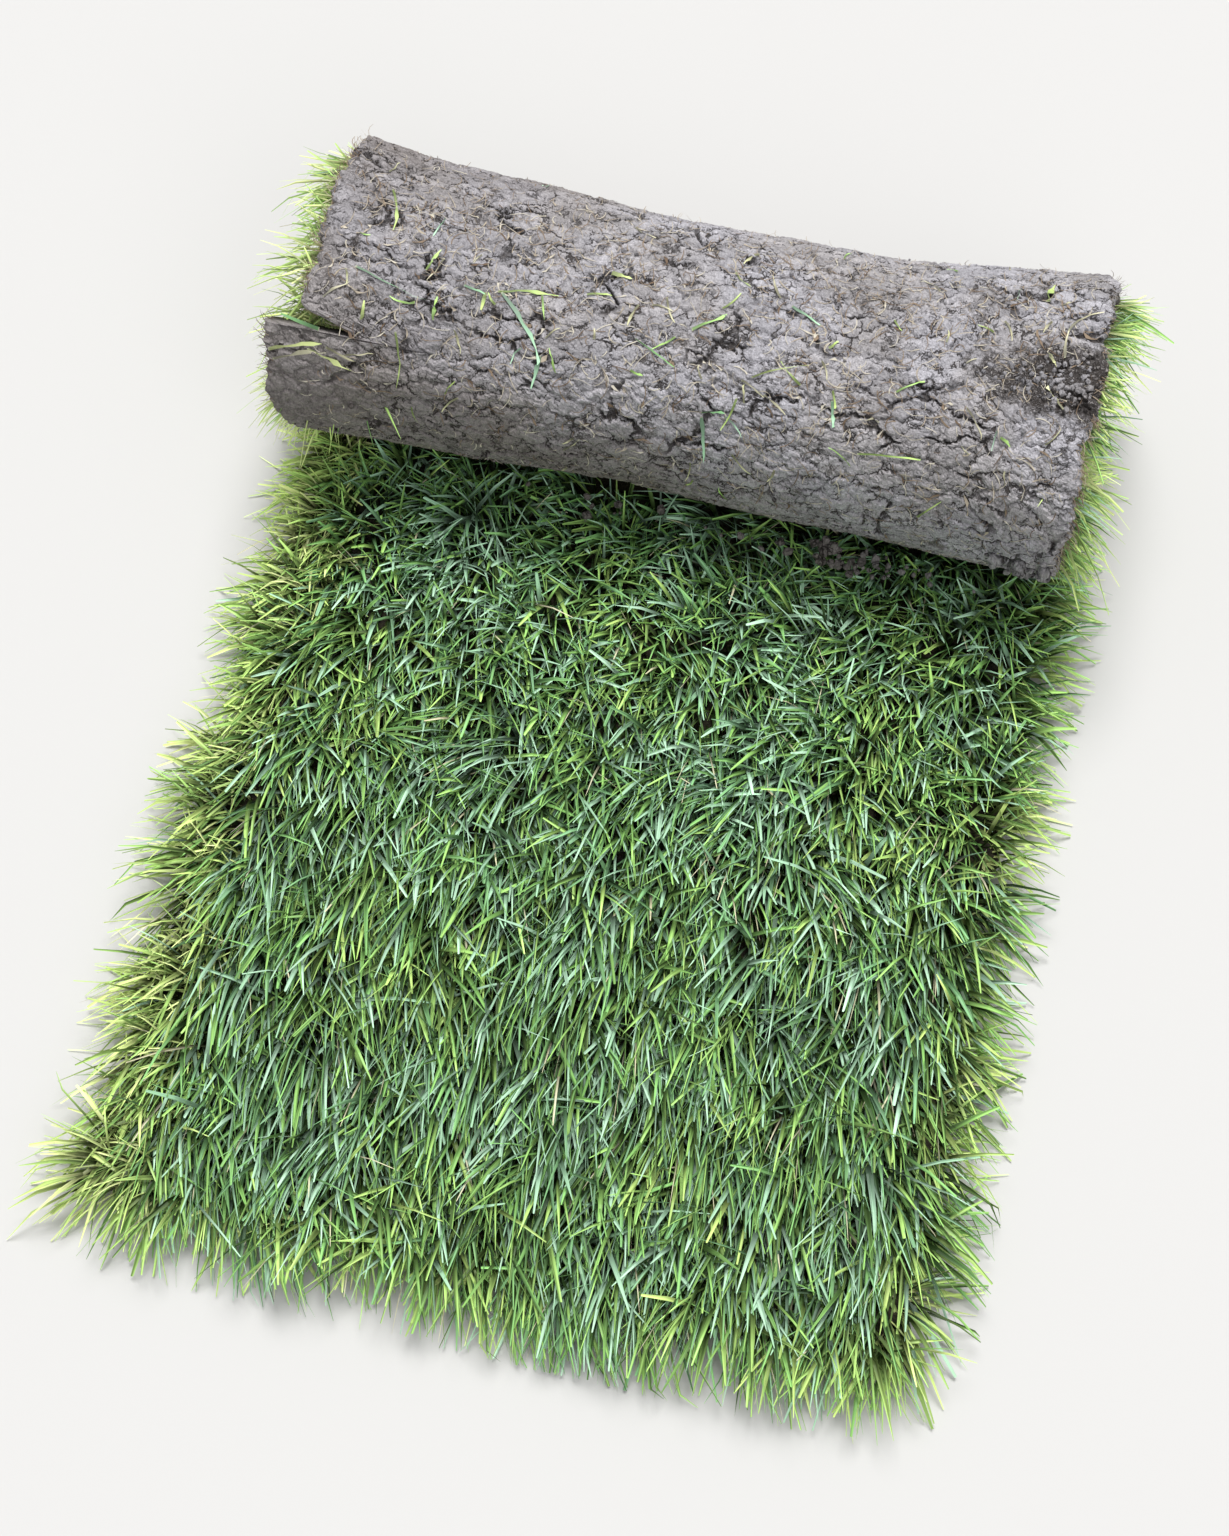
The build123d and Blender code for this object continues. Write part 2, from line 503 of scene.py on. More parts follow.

# %% Soil material: colour of clods and crumbs, and damp soil with painted shade
soil_finish, tree, shader = new_material("dry turf soil", 0.90, 0.25)
strip_place = add(tree, "ShaderNodeAttribute", attribute_name="strip").outputs["Vector"]
space_place = add(tree, "ShaderNodeTexCoord").outputs["Object"]
pattern = soil_pattern(strip_place)
grain = noise(strip_place, 700.0, 3.0, 0.7)
speckle = noise(strip_place, 230.0, 3.0, 0.65)
patches = ease(noise(strip_place, 12.0, 3.0), 0.40, 0.62)
colour = mix_colours(patches, clod_grey, clod_warm)
clod_light = ease(pattern["clod random"][1], 0.0, 1.0, 0.84, 1.12)
colour = scaled(colour, clod_light)
colour = mix_colours(times(pattern["crumbly"], 0.75), colour, crumb_brown)
# Painted shade: low on the roll, and more towards its left end, the soil is darker and browner, partly damp soil and
# partly shade.
low_down = plus(parts_of(space_place)[2], times(noise(strip_place, 20.0, 2.0), 0.05),
                times(parts_of(space_place)[0], 0.30))
damp_and_painted_shade = ease(low_down, 0.100, 0.230, 0.74, 0.0)
colour = mix_colours(damp_and_painted_shade, colour, damp_and_shade_brown)

# %% Soil material: depth and grain, painted shade in the mat and in cracks, and bump
depth_in_mat = parts_of(strip_place)[2]
# Deep in the mat, and on its grass side, the soil is painted nearly black: dead roots and painted shade under the
# blades.
colour = mix_colours(ease(depth_in_mat, 0.004, soil_thickness * 0.9), colour, mat_brown_and_shade)
light = times(ease(speckle, 0.30, 0.70, 0.86, 1.14), ease(grain, 0.25, 0.75, 0.74, 1.26))
# Painted light and shade: clod and flake tops are lighter, their edges darker.
painted_clod_top_light = plus(times(pattern["clod top"], 0.06), times(pattern["flake top"], 0.08), 0.88)
colour = scaled(colour, times(light, painted_clod_top_light))
# Painted shade: cracks, splits and the gaps between crumbs are painted nearly black.
crack_and_gap_shade = larger(pattern["crack"], pattern["split"])
crumb_gap_shade = times(pattern["crumbly"], ease(pattern["crumb top"], 0.0, 0.5, 0.42, 0.0))
patch_gap_shade = times(pattern["patch"], ease(pattern["crumb top"], 0.0, 0.8, 0.56, 0.04))
crack_and_gap_shade = larger(crack_and_gap_shade, plus(crumb_gap_shade, patch_gap_shade))
colour = mix_colours(times(crack_and_gap_shade, 0.92), colour, crack_shade_dark)
tree.links.new(colour, shader.inputs["Base Color"])
fine_height = plus(times(crack_and_gap_shade, -1.0), times(speckle, 0.6), times(grain, 0.35),
                   times(pattern["crumb top"], plus(times(pattern["crumbly"], 0.6), 0.25)))
bump = add(tree, "ShaderNodeBump")
bump.inputs["Strength"].default_value = 0.95
bump.inputs["Distance"].default_value = 0.0018
tree.links.new(fine_height, bump.inputs["Height"])
tree.links.new(bump.outputs[0], shader.inputs["Normal"])
print("soil material has", len(tree.nodes), "nodes")

# %% [markdown]
# The soil mat itself. Its cross-section is a flat loop: the outer face, a cut edge, the grass side and the other cut
# edge. Rows of that loop follow the strip's path, close together where the soil shows and far apart where it lies
# against the floor or inside the roll. The mat is made in four lengths, because one mesh with a row every two
# millimetres would be too heavy. The cut edges wander by a few millimetres, as a cut through roots does, and the tear
# at the roll's left end is a notch in that edge with the wrap below it slid out of the roll.

# %% Shape of the cut edges
rim_round = 0.005
edge_wander = 0.0016
tear_along = in_front(44)
tear_length = 0.045
tear_slack = 0.004
tear_mouth = 0.014
flap_step = 0.025
flap_fade = 0.150


def edge_shift(along, side):
    """How far the cut edge on side -1 or 1 lies outside its straight line, in metres."""
    wander = np.sin(along * 61 + side * 2) + np.sin(along * 137 + side) + 0.7 * np.sin(along * 331 - side)
    wander = wander + 0.5 * np.sin(along * 717 + side) + 0.4 * np.sin(along * 1291)
    shift = edge_wander * wander
    if side < 0:
        before = along - tear_along
        notch = np.where((before < 0) & (before > -tear_mouth), 1 + before / tear_mouth, 0)
        flap = np.where(before >= 0, 1 - smooth(before, flap_fade * 0.3, flap_fade), 0)
        shift = shift - notch * (tear_length + tear_slack) + flap * flap_step
    return shift


print(f"the tear is {1000 * tear_length:.0f} mm long, and the flap below it stands out by {1000 * flap_step:.0f} mm")


# %% [markdown]
# Each point also gets two facts: where it is on the strip, for the pattern, and which way is out. The outward way comes
# from the cross-section alone, so two lengths that meet are pushed out alike and leave no gap.

# %% Helpers for tubes
def tube_faces(rows, count):
    """Faces of a closed tube with this many rows of this many points; its two flat caps come last."""
    faces = []
    for row in range(rows - 1):
        first, second = row * count, (row + 1) * count
        faces += [(first + k, first + (k + 1) % count, second + (k + 1) % count, second + k) for k in range(count)]
    return faces + [tuple(range(count))[::-1], tuple((rows - 1) * count + k for k in range(count))]


def finish_tube(piece):
    """Turn the tube's faces outwards, and keep its two flat caps from being shaded as if they were round."""
    solid = bmesh.new()
    solid.from_mesh(piece.data)
    if solid.calc_volume(signed=True) < 0:
        bmesh.ops.reverse_faces(solid, faces=solid.faces)
    solid.faces.ensure_lookup_table()
    for cap in (solid.faces[-1], solid.faces[-2]):
        cap.smooth = False
        for edge in cap.edges:
            edge.smooth = False
    solid.to_mesh(piece.data)
    solid.free()


def row_places(*runs):
    """Places along the strip from runs of (start, end, step)."""
    return np.unique(np.concatenate([np.linspace(a, b, max(2, round((b - a) / step) + 1)) for a, b, step in runs]))


# %% One length of the mat
def soil_length(name, rows, across_step, hidden_step=0.03):
    """One length of the mat as a closed tube, with a row of points at each given distance along the strip."""
    outer = np.linspace(-1, 1, round(2 * half_width / across_step) + 1)
    inner = np.linspace(1, -1, round(2 * half_width / hidden_step) + 1)
    cut = np.linspace(0, 1, 11)[1:-1]
    share = np.concatenate([outer, np.ones_like(cut), inner, -np.ones_like(cut)])
    depth = np.concatenate([np.zeros_like(outer), cut, np.ones_like(inner), cut[::-1]]) * soil_thickness
    along, share = np.broadcast_arrays(rows[:, None], share[None, :])
    depth = np.broadcast_to(depth, along.shape)
    inset = rim_round * np.abs(2 * depth / soil_thickness - 1) ** 4
    near_left, near_right = smooth(-share, 0.60, 1.0), smooth(share, 0.80, 1.0)
    across = share * (half_width - inset) - edge_shift(along, -1) * near_left + edge_shift(along, 1) * near_right
    step_across = np.roll(across, -1, 1) - np.roll(across, 1, 1)
    step_depth = np.roll(depth, -1, 1) - np.roll(depth, 1, 1)
    size = np.hypot(step_across, step_depth) + 1e-9
    out_across, out_depth = step_depth / size, -step_across / size
    _, _, grass_y, grass_z = strip_path(along)
    outward = np.stack([out_across, out_depth * grass_y, out_depth * grass_z], -1)
    piece = piece_from(name, strip_point(along, across, depth), tube_faces(*share.shape))
    paint(piece, strip=np.stack([along, across, depth], -1).reshape(-1, 3), outward=outward.reshape(-1, 3))
    finish_tube(piece)
    return piece


# %% The four lengths of the mat
seam = roll_top - slump / 2
off_floor = tail_length + 0.08
behind_grass = in_front(122)
soil_pieces = [
    soil_length("soil_tail", row_places((0.0, tail_length, 0.005)), across_step=0.010, hidden_step=0.010),
    soil_length("soil_roll_back", row_places((tail_length, off_floor, 0.004), (off_floor, seam, 0.0020)),
                across_step=0.0016),
    soil_length("soil_roll_front", row_places((seam, behind_grass, 0.0016), (behind_grass, wrap_end - slump, 0.004)),
                across_step=0.0016),
    soil_length("soil_inner_turn", row_places((wrap_end - slump, strip_end, 0.004)), across_step=0.012),
]
for piece in soil_pieces:
    dress(run_tree(piece, relief_tree, Material=soil_finish), "soil_mat")

# %% [markdown]
# The grass's finish. Each blade's map has only two facts in it: its tone across, from straw over yellow-green to
# blue-green, and the way from root to tip upwards. Colour read from that map alone stays sharp in an export, whatever
# size the blade has in the picture. A blade is painted darker towards its root and lighter towards its tip, as painted
# shade deep in the sward and painted light on the tips. Blades of nearly the same tone still differ in brightness,
# because each meets the sky another way; that is painted light, from fine noise on the tone. The palest tones are
# painted reflection, for blades that mirror the sky. Three materials use the same colours, so they are a group: on the
# open tail the roots are painted nearly black as shade in the sward, round the edges they show pale, and cut clippings
# get no painted sky light.

# %% Blade colour group
blade_stops = [
    (0.00, (0.60, 0.57, 0.42)),
    (0.06, (0.50, 0.47, 0.30)),
    (0.10, (0.72, 0.78, 0.35)),
    (0.30, (0.47, 0.61, 0.19)),
    (0.50, (0.220, 0.350, 0.098)),
    (0.70, (0.116, 0.236, 0.066)),
    (0.84, (0.116, 0.232, 0.112)),
    # The two palest stops are painted reflection of the sky on the blades.
    (0.92, (0.190, 0.300, 0.206)),
    (1.00, (0.255, 0.370, 0.272)),
]
blade_colour = bpy.data.node_groups.new("blade colour", "ShaderNodeTree")
for label, kind, way in (("Tone", "Float", "INPUT"), ("Along", "Float", "INPUT"), ("Root Colour", "Color", "INPUT"),
                         ("Root End", "Float", "INPUT"), ("Flicker", "Float", "INPUT"), ("Colour", "Color", "OUTPUT")):
    blade_colour.interface.new_socket(label, in_out=way, socket_type="NodeSocket" + kind)
tree = blade_colour
given = tree.nodes.new("NodeGroupInput").outputs
colour = colour_ramp(given["Tone"], blade_stops)
# Painted light: each tone gets its own brightness from fine noise, as if each blade met the sky another way.
painted_sky_light = noise(vector_of(given["Tone"], 0.0, 0.0), 95.0, 1.0)


def by_tone(yellow, green, pale):
    """A brightness that goes from one for yellow tones to one for green tones; the palest tones add to it."""
    from_yellow = ease(given["Tone"], 0.30, 0.55, yellow, green)
    return plus(from_yellow, ease(given["Tone"], 0.85, 0.90, 0.0, pale))


darkest, brightest, calm = by_tone(0.84, 0.32, 0.92), by_tone(1.32, 2.42, -0.30), by_tone(1.0, 2.3, 0.0)
painted_sky_light = ease(painted_sky_light, 0.32, 0.68, darkest, brightest)
uneven = times(minus(painted_sky_light, calm), given["Flicker"])
colour = scaled(colour, plus(calm, uneven))
# Painted shade and light: darker towards the root, lighter towards the tip.
colour = scaled(colour, ease(given["Along"], 0.15, 0.95, 0.36, 1.42))
at_root = ease(given["Along"], 0.0, given["Root End"], 1.0, 0.0)
colour = mix_colours(at_root, colour, given["Root Colour"])
tree.links.new(colour, tree.nodes.new("NodeGroupOutput").inputs[0])
print("the blade colour group has", len(tree.nodes), "nodes")


# %% Grass materials
def grass_material(name, root_tint_and_shade, root_end, roughness, painted_sky_light=1.0, specular=0.40):
    material, tree, shader = new_material(name, roughness, specular)
    blade_map = add(tree, "ShaderNodeUVMap", uv_map="OFBake").outputs[0]
    tone, along, _ = parts_of(blade_map)
    group = tree.nodes.new("ShaderNodeGroup")
    group.node_tree = blade_colour
    tree.links.new(tone, group.inputs["Tone"])
    tree.links.new(along, group.inputs["Along"])
    group.inputs["Root Colour"].default_value = (*root_tint_and_shade, 1)
    group.inputs["Root End"].default_value = root_end
    group.inputs["Flicker"].default_value = painted_sky_light
    tree.links.new(group.outputs[0], shader.inputs["Base Color"])
    return material


# The sward's near-black root colour is painted shade deep in the grass; the edge grass has pale roots of its own
# colour.
sward_grass = grass_material("sward grass", (0.006, 0.013, 0.001), 0.78, 0.40, specular=0.18)
edge_grass = grass_material("edge grass", (0.60, 0.66, 0.26), 0.36, 0.42)

# %% [markdown]
# One tree grows every blade in this lesson. The ground mesh that it is given says, point by point, which way the grass
# is combed, how far it leans, how long it is and which tone it has; the tree adds what is random. Turf grows in tufts,
# so cell noise gives all the roots of one tuft a shared direction, height and tone, and they flare out from its
# middle. A blade starts as a flat strip of six faces with a crease down its middle. The tree places a strip on each
# root, turns it into plain mesh, and then bends it by a formula: its lean grows from root to tip, so the blade follows
# an arc. Bending after placing costs little and makes every blade different, which a handful of modelled blades copied
# about would never be.

# %% Helpers for growing
def kept_on(geometry, value, kind):
    """Keep a value on the points, so that it can still be read after they have become blades."""
    tree = geometry.id_data
    node = tree.nodes.new("GeometryNodeCaptureAttribute")
    node.capture_items.new(kind, "kept")
    tree.links.new(geometry, node.inputs[0])
    tree.links.new(value, node.inputs[1])
    return node.outputs[0], node.outputs[1]


def chance(low, high, seed, number):
    """A random number between low and high for each root, different for each number given."""
    node = add(seed.id_data, "FunctionNodeRandomValue", None, None, low, high)
    seed.id_data.links.new(plus(seed, number), node.inputs["Seed"])
    return node.outputs[1]


def store_blade_map(geometry, tone, side_share, way_up):
    """Give each blade its map: its tone across, a trace wider than a line, and the way from root to tip upwards."""
    tree = geometry.id_data
    map_across = plus(tone, times(side_share, 0.008))
    map_up = plus(times(way_up, 0.98), 0.01)
    store = add(tree, "GeometryNodeStoreNamedAttribute", geometry, None, "OFBake", data_type="FLOAT2", domain="CORNER")
    tree.links.new(vector_of(map_across, map_up, 0.0), store.inputs["Value"])
    return store.outputs[0]


# %% Tree that grows blades: the roots
grass_tree, given = new_tree("grass blades", [
    ("Seed", "Int", 1),
    ("Density", "Float", 70000.0),
    ("Blade Length", "Float", 0.056),
    ("Length Spread", "Float", 0.30),
    ("Blade Width", "Float", 0.0032),
    ("Lean Spread", "Float", 0.30),
    ("Curl", "Float", 0.65),
    ("Swirl", "Float", 0.20),
    ("Tuft Size", "Float", 0.026),
    ("Tuft", "Float", 0.9),
    ("Flare", "Float", 0.9),
    ("Stray", "Float", 0.7),
    ("Tone Spread", "Float", 0.16),
    ("Droop", "Float", 1.0),
    ("Keep Off Roll", "Float", 0.0),
    ("Material", "Material", None),
])
tree = grass_tree
seed = given["Seed"]
root = point_places(tree)
tuft_place = over(1.0, given["Tuft Size"])
tufts = add(tree, "ShaderNodeTexVoronoi", bent(root, 0.012, 0.012), feature="F1")
tuft_gaps = add(tree, "ShaderNodeTexVoronoi", bent(root, 0.012, 0.012), feature="DISTANCE_TO_EDGE")
for texture in (tufts, tuft_gaps):
    tree.links.new(tuft_place, texture.inputs["Scale"])
thick = times(given["Density"], painted(tree, "thick"), ease(tuft_gaps.outputs[0], 0.02, 0.22, 0.25, 1.15))
spread_points = tree.nodes.new("GeometryNodeDistributePointsOnFaces")
tree.links.new(given["Geometry"], spread_points.inputs["Mesh"])
tree.links.new(thick, spread_points.inputs["Density"])
tree.links.new(seed, spread_points.inputs["Seed"])
points, upward = spread_points.outputs["Points"], spread_points.outputs["Normal"]

tuft_random = vector_minus(tufts.outputs["Color"], (0.5, 0.5, 0.5))
tuft_red, tuft_green, tuft_blue = parts_of(tuft_random)
from_tuft = scaled(vector_minus(root, tufts.outputs["Position"]), tuft_place)
swirl = vector_minus(noise(root, 11.0, 2.0, 0.5, "Color"), (0.5, 0.5, 0.5))
stray = vector_of(*(chance(-1.0, 1.0, seed, n) for n in (11, 12, 13)))
crosswise = plus(times(sums("GREATER_THAN", chance(0.0, 1.0, seed, 14), 0.82), 3.0), 1.0)
stray = scaled(stray, crosswise)
heading = vector_plus(
    painted(tree, "comb", "FLOAT_VECTOR"),
    scaled(swirl, times(given["Swirl"], 4.0)),
    scaled(tuft_random, times(given["Tuft"], 2.0)),
    scaled(from_tuft, times(given["Flare"], 1.2)),
    scaled(stray, given["Stray"]),
)
off_ground = scaled(upward, vector_sums("DOT_PRODUCT", heading, upward))
heading = vector_sums("NORMALIZE", vector_minus(heading, off_ground))

# %% Tree that grows blades: each blade's own numbers
spread = given["Lean Spread"]
lean = plus(painted(tree, "lean"), chance(times(spread, -1.0), spread, seed, 21), times(tuft_red, 0.35))
less, more = minus(1.0, given["Length Spread"]), sums("ADD", 1.0, given["Length Spread"])
length = times(given["Blade Length"], painted(tree, "tall"), chance(less, more, seed, 22),
               plus(times(tuft_green, 0.35), 1.0))
slim = sums("POWER", chance(0.0, 1.0, seed, 23), 1.5)
width = times(given["Blade Width"], plus(times(slim, 0.95), 0.50))
curl = times(given["Curl"], chance(0.10, 1.5, seed, 24))
turned = chance(-1.1, 1.1, seed, 25)
twist = chance(-1.4, 1.4, seed, 26)
blunt = sums("POWER", chance(0.0, 1.0, seed, 29), 1.6)
tone_patch = ease(noise(root, 24.0, 2.0), 0.25, 0.75, -0.6, 0.6)
tone_gap = given["Tone Spread"]
tone = plus(painted(tree, "tone"), times(tone_patch, tone_gap), times(tuft_blue, tone_gap),
            chance(times(tone_gap, -1.2), times(tone_gap, 1.2), seed, 27))
luck = chance(0.0, 1.0, seed, 28)
straw = sums("LESS_THAN", luck, 0.022)
# About a fifth of the green blades take the palest tones: painted reflection of the sky.
painted_sky_reflection = times(sums("GREATER_THAN", luck, 0.81), sums("GREATER_THAN", tone, 0.55))
tone = plus(tone, times(painted_sky_reflection, minus(chance(0.90, 0.99, seed, 15), tone)))
tone = add(tree, "ShaderNodeClamp", tone, 0.11, 0.99).outputs[0]
tone = times(tone, minus(1.0, times(straw, 0.95)))
width = times(width, minus(1.0, times(straw, 0.45)))

kept = {}
for label, value, kind in (
    ("root", root, "VECTOR"), ("heading", heading, "VECTOR"), ("upward", upward, "VECTOR"), ("lean", lean, "FLOAT"),
    ("length", length, "FLOAT"), ("width", width, "FLOAT"), ("curl", curl, "FLOAT"), ("turned", turned, "FLOAT"),
    ("twist", twist, "FLOAT"), ("tone", tone, "FLOAT"), ("blunt", blunt, "FLOAT"),
):
    points, kept[label] = kept_on(points, value, kind)

# %% Tree that grows blades: bending the strips
strip = add(tree, "GeometryNodeMeshGrid", 1.0, 1.0, 3, 4)
strip_x, strip_y, _ = parts_of(point_places(tree))
strip_mesh, side_share = kept_on(strip.outputs[0], strip_x, "FLOAT")
strip_mesh, way_up = kept_on(strip_mesh, sums("ADD", strip_y, 0.5), "FLOAT")
blades = copies_on(points, strip_mesh)
tip_lean = plus(kept["lean"], times(kept["curl"], way_up))
per_curl = over(kept["length"], kept["curl"])
forward = times(per_curl, minus(cosine(kept["lean"]), cosine(tip_lean)))
upwards = times(per_curl, minus(sine(tip_lean), sine(kept["lean"])))
far = times(kept["length"], way_up)
sag = times(far, far, times(given["Droop"], -4.0))
spine = vector_plus(kept["root"], scaled(kept["heading"], forward),
                    scaled(kept["upward"], upwards), vector_of(0.0, 0.0, sag))
sideways = vector_sums("NORMALIZE", vector_sums("CROSS_PRODUCT", kept["heading"], kept["upward"]))
face_up = vector_plus(scaled(kept["upward"], sine(tip_lean)), scaled(kept["heading"], times(cosine(tip_lean), -1.0)))
spin = plus(kept["turned"], times(kept["twist"], way_up))
spin_cosine, spin_sine = cosine(spin), sine(spin)
broad = vector_plus(scaled(sideways, spin_cosine), scaled(face_up, spin_sine))
crease = vector_plus(scaled(face_up, spin_cosine), scaled(sideways, times(spin_sine, -1.0)))
from_root = sums("MINIMUM", plus(times(way_up, 1.6), 0.62), 1.0)
lost = times(minus(0.93, times(kept["blunt"], 0.55)), sums("POWER", way_up, 2.6))
half_blade = times(kept["width"], side_share, from_root, minus(1.0, lost))
crease_depth = times(sums("ABSOLUTE", half_blade), 0.55)
where = vector_plus(spine, scaled(broad, half_blade), scaled(crease, crease_depth))

# %% [markdown]
# Two things stop a blade: the floor, and the roll that lies on the tail. A blade near the roll is pushed out along the
# roll's radius until it only leans on it, with the roll's waist taken into account. No blade reaches further out than
# a set distance from the solids.

# %% Blades stay out of the floor and the roll
side_reach, end_reach = 0.055, 0.060
x, y, z = parts_of(where)
share_x = over(x, half_width)
wider = plus(times(share_x, share_x, waist + flare), -waist)
axis_z = plus(wider, front_z)
from_axis_y = minus(y, front_y)
from_axis_z = minus(z, axis_z)
distance = vector_sums("LENGTH", vector_of(0.0, from_axis_y, from_axis_z))
keep_off = times(given["Keep Off Roll"], plus(times(wider, 1 / front_radius), 1.0))
push = larger(over(keep_off, distance), 1.0)
pushed_y = plus(times(from_axis_y, push), front_y)
pushed_z = plus(times(from_axis_z, push), axis_z)
above_floor = plus(times(kept["tone"], 0.003), 0.0008)
reach_x, reach_y = half_width + side_reach, -tail_y + end_reach
where = vector_of(add(tree, "ShaderNodeClamp", x, -reach_x, reach_x).outputs[0], larger(pushed_y, -reach_y),
                  larger(pushed_z, above_floor))
blades = add(tree, "GeometryNodeSetPosition", blades, None, where).outputs[0]
finish_tree(tree, store_blade_map(blades, kept["tone"], side_share, way_up), given["Material"])

# %% [markdown]
# The ground that the grass grows from is a plain patch of the strip's grass side, with the painted values. On the open
# tail the grass was pressed while it was rolled up: near the roll it lies every way, and further out it is longer and
# combed towards the tail's end. Some blades lie right across the others. Along the edges the grass leans out and is
# paler: yellow-green on the left, where it also stands in tufts, and greener on the right.

# %% Ground patches
def ground_patch(name, start, end, left, right, habit, step=0.01):
    """A patch of the strip's grass side. habit(along, across) gives comb, lean, tall, tone and thick."""
    rows = np.linspace(start, end, max(2, round((end - start) / step) + 1))
    columns = np.linspace(left, right, max(2, round((right - left) / step) + 1))
    along, across = (grid.ravel() for grid in np.meshgrid(rows, columns, indexing="ij"))
    points = strip_point(along, across, soil_thickness - 0.002)
    count = len(columns)
    faces = [
        (r * count + c, r * count + c + 1, (r + 1) * count + c + 1, (r + 1) * count + c)
        for r in range(len(rows) - 1) for c in range(count - 1)
    ]
    patch = piece_from(name, points, faces)
    _, _, grass_y, grass_z = strip_path(along)
    first = patch.data.polygons[0]
    facing = first.normal.y * grass_y[first.vertices[0]] + first.normal.z * grass_z[first.vertices[0]]
    if facing < 0:
        patch.data.flip_normals()
    comb_x, comb_s, lean, tall, tone, thick = (np.broadcast_to(v, along.shape) for v in habit(along, across))
    paint(patch, comb=np.stack([comb_x, comb_s * grass_z, -comb_s * grass_y], -1), lean=lean, tall=tall, tone=tone,
          thick=thick)
    return patch


# %% Growing grass on a patch
grass_seed = 100


def grow_grass(name, patch_values, **values):
    global grass_seed
    grass_seed += 100
    settings = dict(Keep_Off_Roll=front_radius + 0.002, Material=sward_grass) | values
    return dress(run_tree(ground_patch(name, *patch_values), grass_tree, Seed=grass_seed, **settings),
                 "grass_sward")


# %% Grass on the open tail
def tufts_along(along):
    """Rises and falls every few centimetres, for tufts along a cut edge."""
    return np.sin(along * 52 + 1.0) + 0.7 * np.sin(along * 117 + 2.0)


def open_tail(along, across):
    """Grass on the open tail: messy near the roll, combed to the tail's end further out, leaning out at the edges."""
    out = along / (front_y - tail_y)
    far_out = 1 - smooth(out, 0.25, 0.90)
    combed = 0.65 + 1.7 * far_out
    edge = np.abs(across) / half_width
    at_edge = smooth(edge, 0.84, 1.0)
    left_edge = at_edge * (across < 0)
    at_end = 1 - smooth(along, 0.0, 0.05)
    tufty = tufts_along(along)
    combed = combed * (1 - 0.55 * at_edge)
    comb_x = np.sign(across) * at_edge * (1.2 - 0.2 * (across > 0) + 0.4 * tufty) + 0.30 * far_out * (1 - at_edge)
    lean = 0.64 + 0.12 * np.sin(along * 40 + across * 22) + 0.22 * far_out + 0.15 * at_edge
    patchy = np.sin(along * 19 + across * 7 + 1.0) * np.sin(across * 21 - along * 8)
    tall = 0.88 + 0.45 * far_out - 0.10 * at_edge + 0.10 * left_edge * tufty + 0.13 * patchy
    tone = 0.71 - 0.42 * left_edge - 0.16 * at_edge * (across > 0) - 0.12 * at_end + 0.07 * patchy
    return comb_x, -combed, lean, tall, tone, 1.0


wedge_end = front_y - tail_y - 0.045
inset = 0.003
grow_grass("grass_tail_left", (inset, wedge_end, -half_width + inset, 0.0, open_tail))
grow_grass("grass_tail_right", (inset, wedge_end, 0.0, half_width - inset, open_tail))

# %% [markdown]
# The rim of the open tail has extra blades that hang out over the cut edges, and they are pale at the root. On the left
# they are finer, stand in tufts and hang further out; on the right and at the cut end they form a neat narrow fringe.

# %% Rim of the tail
def rim(along, across):
    side = np.sign(across)
    at_end = 1 - smooth(along, 0.0, 0.02)
    comb_x = side * 1.2 * (1 - at_end)
    return comb_x, -0.4 - 1.0 * at_end, 1.10, 0.84, 0.34 + 0.14 * (side > 0), 1.0


def tufted_rim(along, across):
    tufty = tufts_along(along)
    outside = smooth(-across, half_width - tuft_width, half_width)
    lean, tall, tone = 0.62 + 0.45 * outside, 0.98 + 0.12 * tufty, 0.33 - 0.06 * tufty
    return -0.9 - 0.35 * tufty, -0.7 + 0.3 * tufty, lean, tall, tone, 0.45 + 0.55 * outside


rim_width, tuft_width = 0.016, 0.045
rim_settings = dict(Density=70000.0, Droop=2.0, Stray=0.6, Material=edge_grass)
tuft_settings = rim_settings | dict(Density=100000.0, Blade_Width=0.0023, Tuft=1.3, Stray=0.9, Lean_Spread=0.45)
grow_grass("grass_rim_left", (inset, wedge_end, -half_width + inset, -half_width + tuft_width, tufted_rim),
           **tuft_settings)
grow_grass("grass_rim_right", (inset, wedge_end, half_width - rim_width, half_width - inset, rim), **rim_settings)
grow_grass("grass_rim_end", (inset, rim_width, -half_width + inset, half_width - inset, rim), **rim_settings)

# %% [markdown]
# At the roll's ends the grass that is pressed between the turns comes out sideways. Its roots are the last few
# centimetres of the strip's grass side, all the way round the winding, and pressing has laid the blades nearly flat, so
# that they lie against the next turn and point out of the roll. At the left end they are longer and paler.

# %% Grass out of the roll's ends
def roll_end(along, across):
    side = np.sign(across)
    uneven = np.sin(along * 57 + side) + np.sin(along * 131 + 2.0)
    outside = smooth(np.abs(across), half_width - 0.012, half_width)
    tall = 1.0 - 0.20 * (side > 0) + 0.12 * uneven - 0.20 * outside
    return side * 1.4, 0.35 * uneven, 1.12 + 0.10 * uneven, tall, 0.26 + 0.18 * (side > 0), 1.0


end_depth = 0.036
end_settings = dict(Density=120000.0, Blade_Width=0.0024, Lean_Spread=0.40, Curl=0.7, Droop=2.0, Tuft=1.1, Stray=1.1,
                    Tone_Spread=0.24, Keep_Off_Roll=0.0, Material=edge_grass)
grow_grass("grass_end_left", (wedge_end, wrap_end, -half_width + inset, -half_width + end_depth, roll_end),
           **end_settings)
grow_grass("grass_end_right", (wedge_end, wrap_end, half_width - end_depth, half_width - inset, roll_end),
           **end_settings)

# %% [markdown]
# The core of the roll is no open hole: the grass of its inner turn meets in it and is squeezed out sideways, so at each
# end a mop of blades points out of it. They stand on an upright patch across the core, a few centimetres deep.

# %% Grass in the core
core_z = front_z + growth(half_width)
core_radius = front_radius - turn_pitch - 0.008
core_y = (front_y + lift_y) / 2


